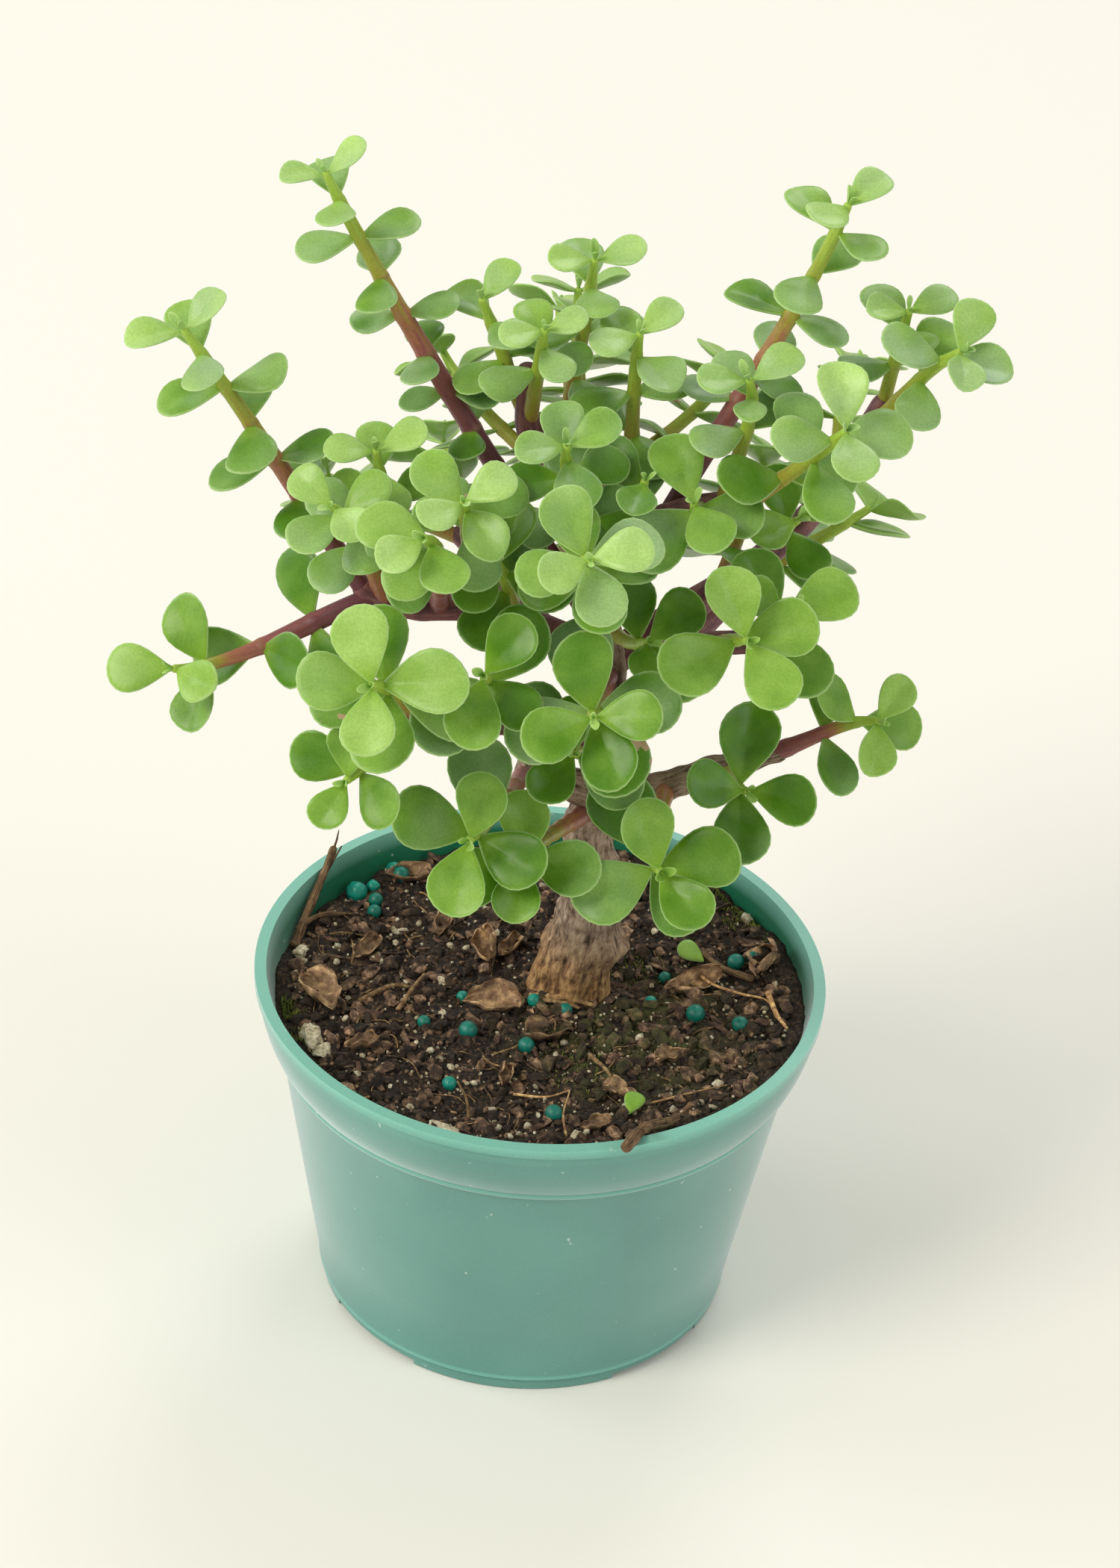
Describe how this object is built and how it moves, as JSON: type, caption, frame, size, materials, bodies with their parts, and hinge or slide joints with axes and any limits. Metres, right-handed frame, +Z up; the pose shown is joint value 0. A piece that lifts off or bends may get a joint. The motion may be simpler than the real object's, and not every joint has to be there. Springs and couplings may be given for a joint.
{
  "type": "potted dwarf jade plant",
  "caption": "Small tree-like succulent with opposite round fleshy leaves on branching woody stems, growing in soil in a round tapered plastic nursery pot.",
  "frame": {"origin": "centre of the pot's underside, on the pot's axis", "axes": "+Z up along the pot's axis; the front of the plant faces -Y, and +X is to the right of it"},
  "size_m": [0.18, 0.1634, 0.2771],
  "materials": {
    "pot_plastic": "satin moulded polypropylene, teal green",
    "potting_soil": "moist peat and bark mix, matte and crumbly",
    "old_bark": "dry grey-brown bark, cracked and flaking",
    "young_bark": "smooth purple-brown young bark, semi-gloss",
    "leaf": "smooth fleshy leaf with a soft sheen, bright to deep green"
  },
  "bodies": {
    "root": {"pot": "pot_plastic", "soil": "potting_soil", "trunk": "old_bark", "branch_back": "young_bark", "branch_back_left": "young_bark", "branch_back_right": "young_bark", "branch_centre": "young_bark", "branch_front_left": "young_bark", "branch_left": "young_bark", "branch_right": "young_bark", "branch_right_back": "young_bark", "branch_right_low": "old_bark", "stub_left": "old_bark", "stub_top": "young_bark", "shoot_back_high": "leaf", "shoot_back_high_left": "leaf", "shoot_back_high_right": "leaf", "shoot_back_left": "leaf", "shoot_back_left_low": "leaf", "shoot_back_low": "leaf", "shoot_back_right": "leaf", "shoot_back_right_high": "leaf", "shoot_back_right_low": "leaf", "shoot_back_top": "leaf", "shoot_centre_high": "leaf", "shoot_centre_low": "leaf", "shoot_front_left": "leaf", "shoot_inner_front": "leaf", "shoot_inner_high": "leaf", "shoot_inner_left": "leaf", "shoot_inner_low": "leaf", "shoot_left_deep": "leaf", "shoot_left_far": "leaf", "shoot_left_hanging": "leaf", "shoot_left_high": "leaf", "shoot_left_inner": "leaf", "shoot_left_pale": "leaf", "shoot_left_twin_high": "leaf", "shoot_left_twin_low": "leaf", "shoot_lower_front": "leaf", "shoot_lower_left": "leaf", "shoot_lower_right": "leaf", "shoot_lower_right_big": "leaf", "shoot_middle_pale": "leaf", "shoot_right_back_low": "leaf", "shoot_right_bright": "leaf", "shoot_right_centre": "leaf", "shoot_right_end": "leaf", "shoot_right_far": "leaf", "shoot_right_inner": "leaf", "shoot_right_mid": "leaf", "shoot_right_outer": "leaf", "shoot_right_upper": "leaf", "shoot_top_inner": "leaf", "shoot_top_inner_left": "leaf", "shoot_top_inner_right": "leaf", "shoot_top_left": "leaf", "shoot_top_middle": "leaf", "shoot_top_right": "leaf"}
  },
  "joints": []
}
